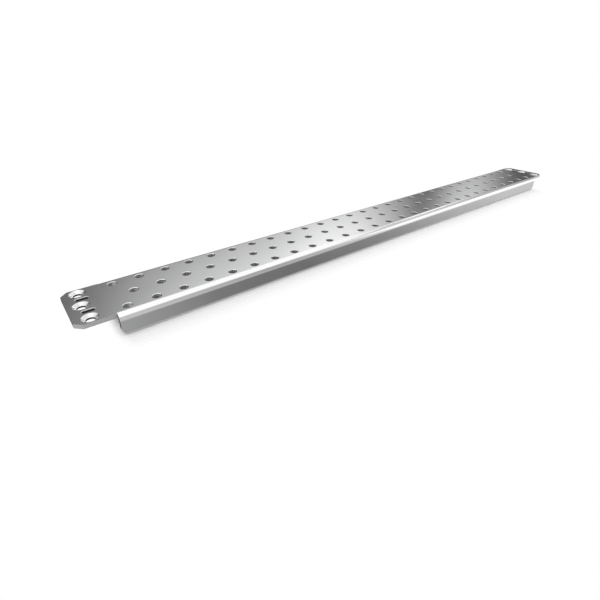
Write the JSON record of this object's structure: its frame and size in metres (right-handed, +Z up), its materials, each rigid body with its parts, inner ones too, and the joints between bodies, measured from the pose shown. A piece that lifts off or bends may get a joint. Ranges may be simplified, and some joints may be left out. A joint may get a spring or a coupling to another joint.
{
  "type": "enclosure support rail",
  "caption": "Folded sheet-steel support rail: a shallow channel with staggered rows of countersunk holes and a flat fixing tab at each end, for carrying devices in an enclosure.",
  "frame": {"origin": "middle of the rail's length and width, on the plane of the flange feet", "axes": "+X along the rail, +Y across it, +Z up from the flange feet to the perforated face"},
  "size_m": [0.38, 0.035, 0.01],
  "materials": {
    "zinc_plated_steel": "bright zinc plating, smooth and reflective"
  },
  "bodies": {
    "root": {"support_rail": "zinc_plated_steel"}
  },
  "joints": []
}
